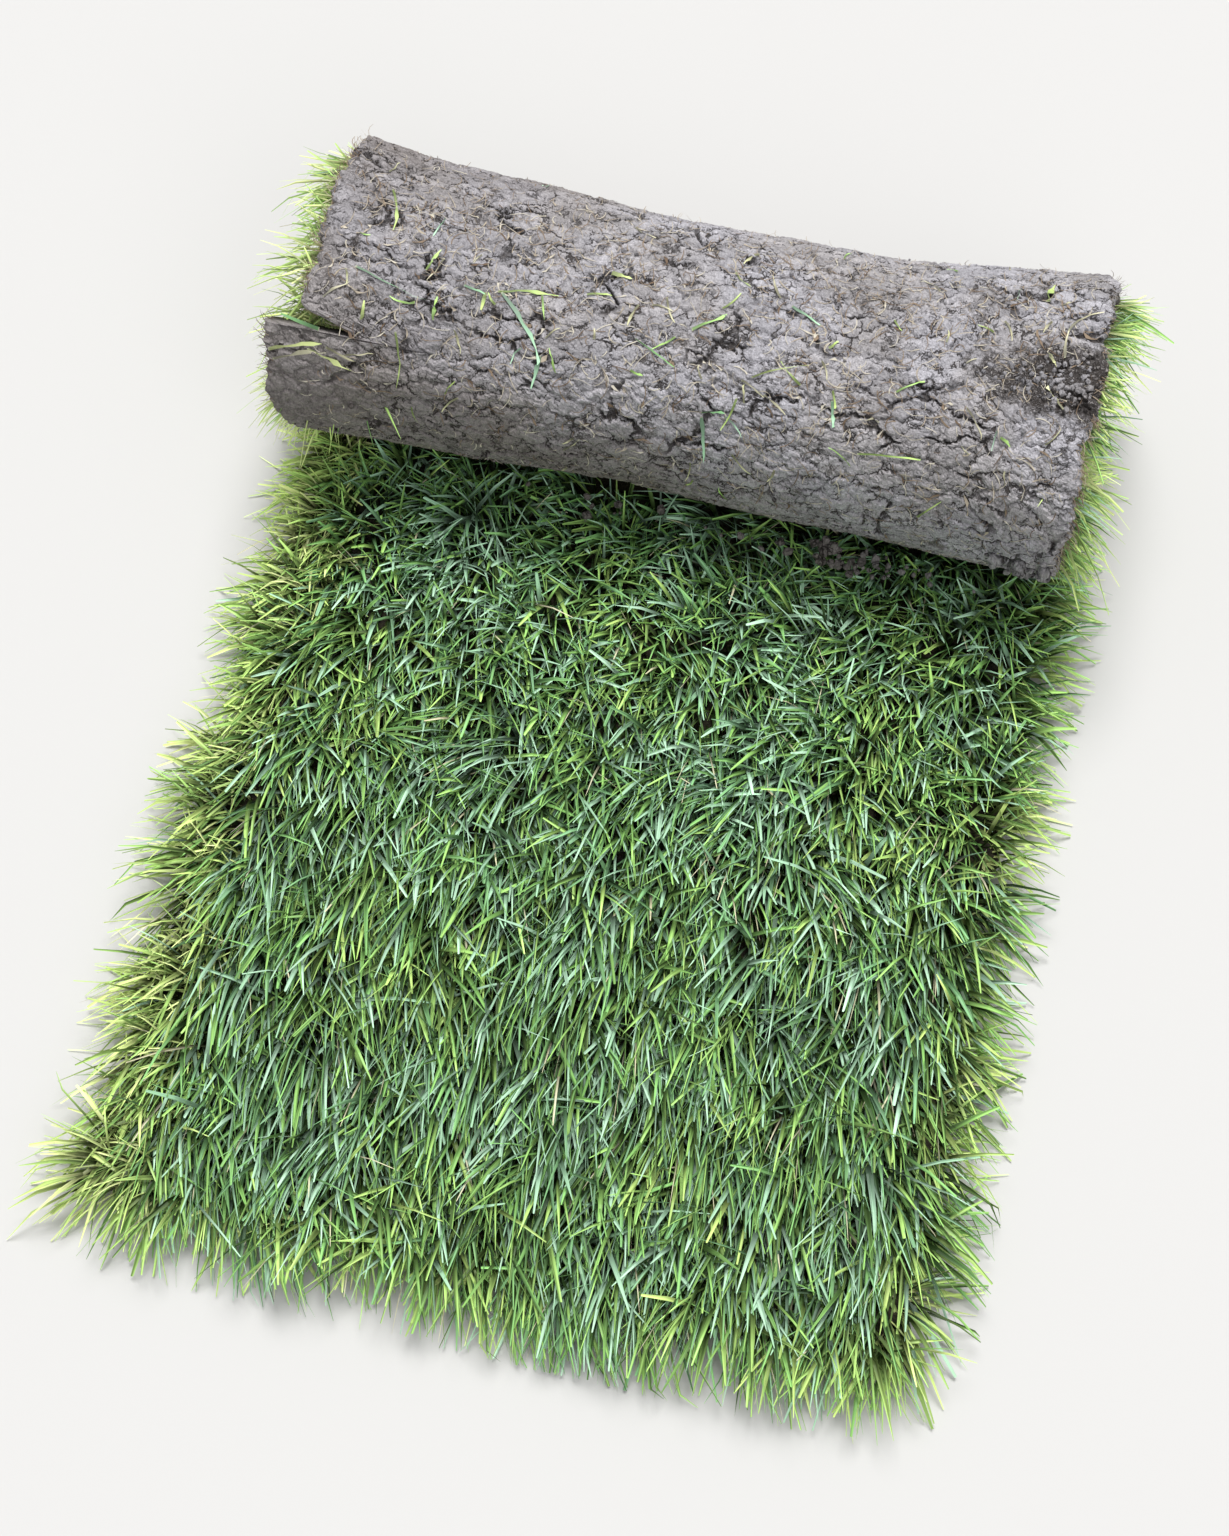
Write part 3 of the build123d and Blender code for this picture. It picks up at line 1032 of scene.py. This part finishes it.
def core_patch(name, side):
    """A disc across the core, facing out of the roll, painted for the grass tree."""
    rings, spokes = 9, 36
    reach = np.linspace(0.0, 1.0, rings)[1:, None]
    angle = np.linspace(0, 2 * math.pi, spokes, endpoint=False)[None, :]
    y = np.concatenate([[core_y], (core_y + (core_radius + slump / 2) * reach * np.cos(angle)).ravel()])
    z = np.concatenate([[core_z], (core_z + core_radius * reach * np.sin(angle)).ravel()])
    x = side * (half_width - 0.026 - 0.012 * np.sin(y * 90) * np.cos(z * 110))
    faces = [(0, 1 + k, 1 + (k + 1) % spokes) for k in range(spokes)]
    for ring in range(rings - 2):
        near, far = 1 + ring * spokes, 1 + (ring + 1) * spokes
        faces += [(near + k, far + k, far + (k + 1) % spokes, near + (k + 1) % spokes) for k in range(spokes)]
    patch = piece_from(name, np.stack([x, y, z], -1), faces)
    if patch.data.polygons[0].normal.x * side < 0:
        patch.data.flip_normals()
    from_middle = np.hypot(y - core_y, z - core_z) / core_radius
    lay = np.sin(y * 60 + z * 45)
    paint(patch, comb=np.stack([0 * y, 0.7 * np.cos(z * 50 + side), -0.8 - 0.3 * lay], -1),
          lean=0.55 + 0.25 * lay, tall=1.05 - 0.30 * from_middle, tone=0.40 + 0.10 * lay, thick=np.ones_like(y))
    return patch


core_settings = dict(Density=75000.0, Blade_Length=0.042, Lean_Spread=0.45, Curl=1.1, Droop=1.0, Tuft=1.1, Stray=0.9,
                     Swirl=0.6, Keep_Off_Roll=0.0, Material=sward_grass)
for name, side in (("grass_core_left", -1), ("grass_core_right", 1)):
    grass_seed += 100
    dress(run_tree(core_patch(name, side), grass_tree, Seed=grass_seed, **core_settings), "grass_sward")

# %% [markdown]
# Clippings and rootlets lie on the roll: cut blades that dried while it was handled, straw, and hair-thin roots. The
# tree for them starts from plain points that carry a direction, a length, a width and a bend, grows a flat ribbon on
# each, and lays it on the nearest soil. Ribbons with no hug stand free instead, as the rootlets round the cut edges do.

# %% Tree for clippings and rootlets: ribbons on points
litter_tree, given = new_tree("litter", [
    ("Stations", "Int", 7),
    ("Clearance", "Float", 0.0009),
    ("Soil Back", "Object", None),
    ("Soil Front", "Object", None),
    ("Material", "Material", None),
])
tree = litter_tree
ribbon = add(tree, "GeometryNodeMeshGrid", 1.0, 1.0, 2, given["Stations"])
ribbon_x, ribbon_y, _ = parts_of(point_places(tree))
ribbon_mesh, side_share = kept_on(ribbon.outputs[0], ribbon_x, "FLOAT")
ribbon_mesh, way_up = kept_on(ribbon_mesh, sums("ADD", ribbon_y, 0.5), "FLOAT")
root = point_places(tree)
points, kept_root = kept_on(given["Geometry"], root, "VECTOR")
ribbons = copies_on(points, ribbon_mesh)
comb, upward = painted(tree, "comb", "FLOAT_VECTOR"), painted(tree, "upward", "FLOAT_VECTOR")
length, width, bend, hug = (painted(tree, label) for label in ("length", "width", "bend", "hug"))
sideways = vector_sums("CROSS_PRODUCT", comb, upward)
turn_here = times(bend, way_up)
per_bend = over(length, bend)
forward = times(per_bend, sine(turn_here))
aside = times(per_bend, minus(1.0, cosine(turn_here)))
narrow = minus(1.0, times(sums("POWER", way_up, 3.0), 0.6))
half_ribbon = times(width, side_share, narrow)
forward = minus(forward, times(half_ribbon, sine(turn_here)))
aside = plus(aside, times(half_ribbon, cosine(turn_here)))
free_rise = times(length, way_up, way_up, 0.35)
flat = vector_plus(kept_root, scaled(comb, forward), scaled(sideways, aside))
free = vector_plus(flat, scaled(upward, free_rise))

# %% Tree for clippings and rootlets: ribbons laid on the soil
soil_target = tree.nodes.new("GeometryNodeJoinGeometry")
for label in ("Soil Back", "Soil Front"):
    soil_object = add(tree, "GeometryNodeObjectInfo", given[label])
    tree.links.new(soil_object.outputs["Geometry"], soil_target.inputs[0])
nearest = add(tree, "GeometryNodeProximity", soil_target.outputs[0], target_element="FACES")
tree.links.new(flat, nearest.inputs["Sample Position"])
laid = vector_plus(nearest.outputs["Position"], scaled(upward, given["Clearance"]))
where = add(tree, "ShaderNodeMix", data_type="VECTOR")
for socket, value in ((0, hug), (4, free), (5, laid)):
    tree.links.new(value, where.inputs[socket])
x, y, z = parts_of(where.outputs[1])
above_floor = vector_of(x, y, larger(z, 0.0004))
ribbons = add(tree, "GeometryNodeSetPosition", ribbons, None, above_floor).outputs[0]
finish_tree(tree, store_blade_map(ribbons, painted(tree, "tone"), side_share, way_up), given["Material"])

# %% [markdown]
# The larger clippings are placed one by one, as they lie on this roll. A place is millimetres across from the roll's
# middle, and degrees in front of its top line. The first stands in the tear, so it isn't laid on the soil.

# %% Places of the larger clippings
# from (across, degrees), to (across, degrees), bend, width in mm, tone
# Tones near 0.9 make the palest clippings, whose paleness is painted reflection of the sky.
placed_clippings = [
    ((-289, 43), (-318, 38), 0.25, 3.0, 0.80),
    ((-158, 8), (-118, 38), 0.55, 1.9, 0.91), ((-119, 34), (-121, 50), 0.10, 3.4, 0.91),
    ((-161, 8), (-115, 3), 0.25, 2.0, 0.36), ((-127, 5), (-121, 17), 0.10, 1.6, 0.50),
    ((-271, 13), (-212, 23), 0.10, 1.9, 0.88), ((-262, -33), (-249, -10), 0.35, 1.8, 0.33),
    ((-187, 9), (-170, 11), 0.10, 1.8, 0.88), ((-170, 10), (-170, 19), 0.10, 3.0, 0.28),
    ((-258, 35), (-258, 26), 0.10, 2.2, 0.24), ((-231, 37), (-224, 69), 0.50, 1.6, 0.30),
    ((-218, 6), (-211, -6), 0.20, 1.6, 0.45), ((-80, -15), (-63, -14), 0.10, 2.6, 0.22),
    ((-49, 17), (-15, 27), 0.15, 1.2, 0.75), ((-8, 7), (16, -4), 0.10, 2.2, 0.60),
    ((13, 47), (20, 72), 0.12, 2.8, 0.90), ((12, 45), (30, 43), 0.15, 1.3, 0.82),
    ((37, 35), (28, 52), 0.40, 1.8, 0.36), ((38, 26), (57, 32), 0.30, 1.8, 0.03),
    ((57, 31), (76, 38), 0.30, 1.8, 0.04), ((45, 24), (86, 13), 0.35, 1.4, 0.24),
    ((63, -16), (87, -9), 0.10, 2.0, 0.89), ((109, 28), (114, 40), 0.10, 2.2, 0.90),
    ((136, 50), (184, 47), 0.15, 1.5, 0.42), ((190, 79), (206, 66), 0.15, 1.5, 0.34),
    ((275, -11), (274, -26), 0.30, 1.6, 0.05), ((274, -26), (298, -40), 0.80, 1.6, 0.05),
    ((98, 3), (104, -1), 0.10, 2.5, 0.30),
    ((-326, 56), (-286, 50), 0.30, 2.0, 0.14), ((-322, 60), (-280, 52), 0.35, 1.8, 0.03),
    ((-282, 50), (-252, 57), 0.25, 2.0, 0.06), ((-296, 52), (-262, 60), 0.15, 1.5, 0.13),
    ((-268, 52), (-245, 49), 0.20, 1.3, 0.05), ((210, 20), (228, 34), 0.30, 1.2, 0.05),
]


# %% Clippings placed one by one
def litter_points(name, along, across, heading, **values):
    """Points on the soil's outer face, each with a heading in radians from across towards down the front."""
    here = strip_point(along, across, 0.0)
    ahead = strip_point(along + 0.001, across, 0.0) - here
    ahead /= np.linalg.norm(ahead, axis=1)[:, None]
    aside = np.tile([1.0, 0.0, 0.0], (len(here), 1))
    piece = piece_from(name, here, [])
    paint(piece, comb=np.cos(heading)[:, None] * aside + np.sin(heading)[:, None] * ahead,
          upward=np.cross(aside, ahead) * -1.0, **values)
    return piece


starts, ends = (np.array([c[k] for c in placed_clippings], float) for k in (0, 1))
bends, widths, tones = (np.array([c[k] for c in placed_clippings], float) for k in (2, 3, 4))
place_across = np.concatenate([starts[:, 0], ends[:, 0]]) / 1000
place_along = roll_top + np.radians(np.concatenate([starts[:, 1], ends[:, 1]])) * front_radius
half = len(starts)
step_x, step_s = place_across[half:] - place_across[:half], place_along[half:] - place_along[:half]
soil_back, soil_front = soil_pieces[1], soil_pieces[2]
clipping_finish = grass_material("cut clippings", (0.45, 0.45, 0.30), 0.05, 0.50, 0.0)
clippings = litter_points(
    "clippings_large", place_along[:half], place_across[:half], np.arctan2(step_s, step_x) - bends / 2,
    length=np.hypot(step_x, step_s) * (1 + bends * bends / 24), width=widths / 1000, bend=bends, tone=tones,
    hug=(np.arange(half) > 0) * 1.0)
litter_settings = dict(Soil_Back=soil_back, Soil_Front=soil_front)
dress(run_tree(clippings, litter_tree, Material=clipping_finish, Clearance=0.0014, **litter_settings),
      "grass_sward")

# %% [markdown]
# Smaller clippings and rootlets are scattered at random, with a fixed seed. More of them lie on top, where they fell,
# than round the front and back. A second lot of rootlets stands up behind the top line, where the bend pulled them out.

# %% Scattered clippings
chooser = np.random.default_rng(7)


def scattered(name, count, length, width, bend, tones, clearance, finish, slot, node, stations, hug=1.0,
              around=(25, 55)):
    """Strew ribbons over the roll; around is their middle and spread in degrees in front of the top line."""
    around = chooser.normal(math.radians(around[0]), math.radians(around[1]), count)
    along = roll_top + np.clip(around, -2.2, 2.0) * front_radius
    across = chooser.uniform(-1, 1, count) * (half_width - 0.012)
    way = np.where(chooser.random(count) < 0.5, -1, 1)
    piece = litter_points(
        name, along, across, chooser.uniform(-math.pi, math.pi, count),
        length=chooser.uniform(*length, count), width=chooser.uniform(*width, count),
        bend=chooser.uniform(*bend, count) * way, tone=chooser.choice(tones, count) + chooser.uniform(0, 0.02, count),
        hug=np.full(count, hug))
    return dress(run_tree(piece, litter_tree, Material=finish, Clearance=clearance, Stations=stations,
                          **litter_settings), node)


scattered("clippings_small", 70, length=(0.008, 0.024), width=(0.0009, 0.0019), bend=(0.1, 0.9),
          tones=(0.02, 0.05, 0.06, 0.30, 0.50, 0.92), clearance=0.0011, finish=clipping_finish, slot="grass",
          node="grass_sward", stations=6)

# %% Scattered rootlets
rootlet_finish, tree, shader = new_material("rootlets", 0.75, 0.3)
rootlet_tone, _, _ = parts_of(add(tree, "ShaderNodeUVMap", uv_map="OFBake").outputs[0])
rootlet_stops = [(0.0, (0.13, 0.085, 0.055)), (0.35, (0.26, 0.19, 0.13)), (0.7, (0.46, 0.39, 0.30)),
                 (1.0, (0.66, 0.61, 0.50))]
tree.links.new(colour_ramp(rootlet_tone, rootlet_stops), shader.inputs["Base Color"])
rootlet_settings = dict(width=(0.0004, 0.0008), clearance=0.0007, finish=rootlet_finish, slot="soil", node="soil_mat")
scattered("rootlets_on_soil", 1600, length=(0.005, 0.020), bend=(0.3, 2.2), tones=(0.1, 0.35, 0.7, 0.85, 0.95),
          stations=6, **rootlet_settings)
scattered("rootlets_on_ridge", 700, length=(0.005, 0.015), bend=(0.4, 2.0), tones=(0.3, 0.45, 0.6, 0.75),
          stations=5, hug=0.0, around=(-35, 22), **rootlet_settings)

# %% [markdown]
# Round the cut edges the roots were sliced off, and their ends stick out as a fine brown fringe.

# %% Rootlets round the cut edges
def fringe_of_roots(name, count, side):
    along = tail_length + chooser.uniform(0.02, wrap_end - tail_length - 0.02, count)
    depth = chooser.uniform(0.0, 0.8, count) * soil_thickness
    across = side * (half_width - 0.004) + side * edge_shift(along, side)
    here = strip_point(along, across, depth)
    _, _, grass_y, grass_z = strip_path(along)
    out = -np.stack([np.zeros(count), grass_y, grass_z], -1)
    lean = chooser.uniform(-0.7, 0.5, count)
    comb = np.stack([side * np.ones(count), chooser.normal(0, 0.5, count), chooser.normal(0, 0.5, count)], -1)
    comb += out * lean[:, None]
    comb /= np.linalg.norm(comb, axis=1)[:, None]
    upward = out - comb * np.sum(out * comb, 1)[:, None]
    upward /= np.linalg.norm(upward, axis=1)[:, None]
    piece = piece_from(name, here, [])
    paint(piece, comb=comb, upward=upward, length=chooser.uniform(0.005, 0.016, count),
          width=chooser.uniform(0.0004, 0.0008, count), bend=chooser.uniform(0.4, 2.2, count),
          tone=chooser.uniform(0.05, 0.75, count), hug=np.zeros(count))
    return dress(run_tree(piece, litter_tree, Material=rootlet_finish, Stations=5, **litter_settings),
                 "soil_mat")


fringe_of_roots("rootlets_left_edge", 700, -1)
fringe_of_roots("rootlets_right_edge", 700, 1)

# %% [markdown]
# Crumbs have broken off: some fell into the grass below the roll's front, and most are small and sit on the roll. A
# crumb starts as a ball of 80 faces; the tree sizes and turns each one, and then pushes its points about by noise.

# %% Tree for crumbs
crumb_tree, given = new_tree("crumbs", [
    ("Seed", "Int", 5),
    ("Knobbly", "Float", 0.7),
    ("Material", "Material", None),
])
tree = crumb_tree
ball = add(tree, "GeometryNodeMeshIcoSphere", 0.5, 2).outputs[0]
turn_value = add(tree, "FunctionNodeRandomValue", (0, 0, 0), (6.28, 6.28, 6.28), data_type="FLOAT_VECTOR")
tree.links.new(given["Seed"], turn_value.inputs["Seed"])
size = painted(tree, "size")
crumbs = copies_on(given["Geometry"], ball, turn_value.outputs[0], size)
here = point_places(tree)
knob = minus(noise(here, 260.0, 2.0, 0.6), 0.5)
crumb_normal = tree.nodes.new("GeometryNodeInputNormal").outputs[0]
push_out = scaled(crumb_normal, times(knob, size, given["Knobbly"], 1.6))
crumbs = add(tree, "GeometryNodeSetPosition", crumbs, None, None, push_out).outputs[0]
store = add(tree, "GeometryNodeStoreNamedAttribute", crumbs, None, "strip", data_type="FLOAT_VECTOR", domain="POINT")
across, towards_roll, _ = parts_of(here)
tree.links.new(vector_of(across, towards_roll, 0.009), store.inputs["Value"])
finish_tree(tree, store.outputs[0], given["Material"])


# %% [markdown]
# Of the crumbs on the roll, more than half lie round the crumbled patch, and the largest below it, low on the roll's
# right corner. The others are strewn over the roll. In the grass most lie in one small heap at the foot of the roll.

# %% Crumbs on the roll
def crumb_piece(name, places, sizes):
    piece = piece_from(name, places, [])
    paint(piece, size=sizes)
    return dress(run_tree(piece, crumb_tree, Material=soil_finish), "soil_mat")


count, patch_share, corner_count = 260, 0.60, 22
along = in_front(0) + chooser.normal(math.radians(20), math.radians(50), count).clip(-1.8, 1.9) * front_radius
across = chooser.uniform(-1, 1, count) * (half_width - 0.01)
at_patch = chooser.random(count) < patch_share
from_rim = np.abs(chooser.normal(0, 0.050, count))
along = np.where(at_patch, rough_patch[0] + chooser.normal(0, 0.013, count) * (1 - from_rim * 4), along)
across = np.where(at_patch, half_width - 0.006 - from_rim, across)
sizes = 0.0014 + 0.0030 * chooser.random(count) ** 2 + 0.0010 * at_patch
at_corner = np.arange(count) < corner_count
along = np.where(at_corner, in_front(104) + chooser.normal(0, 0.010, count), along)
across = np.where(at_corner, half_width - 0.006 - np.abs(chooser.normal(0, 0.022, count)), across)
sizes = np.where(at_corner, 0.004 + 0.006 * chooser.random(count), sizes)
crumb_piece("crumbs_on_roll", strip_point(along, across, -sizes * 0.25), sizes)

# %% Crumbs in the grass
count, heap_share = 70, 0.65
heap = chooser.random(count) < heap_share
across = np.where(heap, chooser.normal(0.145, 0.020, count), chooser.uniform(-0.28, 0.29, count))
fallen_y = front_y - front_radius * 0.86 - chooser.uniform(0.0, 0.020, count)
fallen_z = soil_thickness + chooser.uniform(0.028, 0.046, count)
sizes = 0.0025 + 0.0065 * chooser.random(count) ** 1.6
crumb_piece("crumbs_in_grass", np.stack([across, fallen_y, fallen_z], -1), sizes)

# %% [markdown]
# The stage: a pale floor, one broad soft light overhead and a little behind, as on a bright grey day, a weak one from
# the front, and a camera that looks down on the turf from the photograph's side. The light is even over the whole
# floor, so that it stays pale as far as low views see it, and the empty space behind it is pale too.

# %% Floor
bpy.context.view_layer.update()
floor_reach = 40.0
floor = piece_from("floor", [(x * floor_reach, y * floor_reach, 0) for x, y in ((-1, -1), (1, -1), (1, 1), (-1, 1))],
                   [(0, 1, 2, 3)])
floor_material, _, shader = new_material("pale floor", 0.8, 0.3)
shader.inputs["Base Color"].default_value = (0.61, 0.60, 0.585, 1)
floor.data.materials.append(floor_material)

# %% Light
sky_light, sky_seen = 0.34, 0.88
world = bpy.data.worlds.new("studio")
bpy.context.scene.world = world
world.use_nodes = True
tree = world.node_tree
background = tree.nodes["Background"]
background.inputs["Color"].default_value = (0.93, 0.96, 1.0, 1)
seen_directly = add(tree, "ShaderNodeLightPath").outputs["Is Camera Ray"]
brightness = add(tree, "ShaderNodeMapRange", seen_directly, 0.0, 1.0, sky_light, sky_seen).outputs[0]
tree.links.new(brightness, background.inputs["Strength"])


def soft_sun(name, comes_from, spread, power):
    """Even light over the whole floor; spread is how wide the source looks, in degrees."""
    lamp = bpy.data.lights.new(name, "SUN")
    lamp.angle, lamp.energy = math.radians(spread), power
    holder = bpy.data.objects.new(name, lamp)
    holder.location = comes_from
    holder.rotation_euler = (-Vector(comes_from)).to_track_quat("-Z", "Y").to_euler()
    bpy.context.scene.collection.objects.link(holder)


soft_sun("sky", (-0.15, 1.10, 2.6), 32, 3.5)
soft_sun("fill", (1.2, -1.9, 2.2), 45, 0.62)

# %% Camera
view_azimuth = math.radians(13.0)
view_elevation = math.radians(66.0)
view_distance = 2.3
view_lens = 69.0
aim = Vector((0.0, -0.015, 0.05))
back = Vector((math.sin(view_azimuth) * math.cos(view_elevation), -math.cos(view_azimuth) * math.cos(view_elevation),
               math.sin(view_elevation)))
lens = bpy.data.cameras.new("camera")
lens.lens = view_lens
lens.sensor_width = 36.0
camera = bpy.data.objects.new("camera", lens)
camera.location = aim + back * view_distance
camera.rotation_euler = (-back).to_track_quat("-Z", "Y").to_euler()
bpy.context.scene.collection.objects.link(camera)
bpy.context.scene.camera = camera
bpy.context.scene.view_settings.view_transform = "Standard"
print("the camera stands at", [round(value, 3) for value in camera.location])
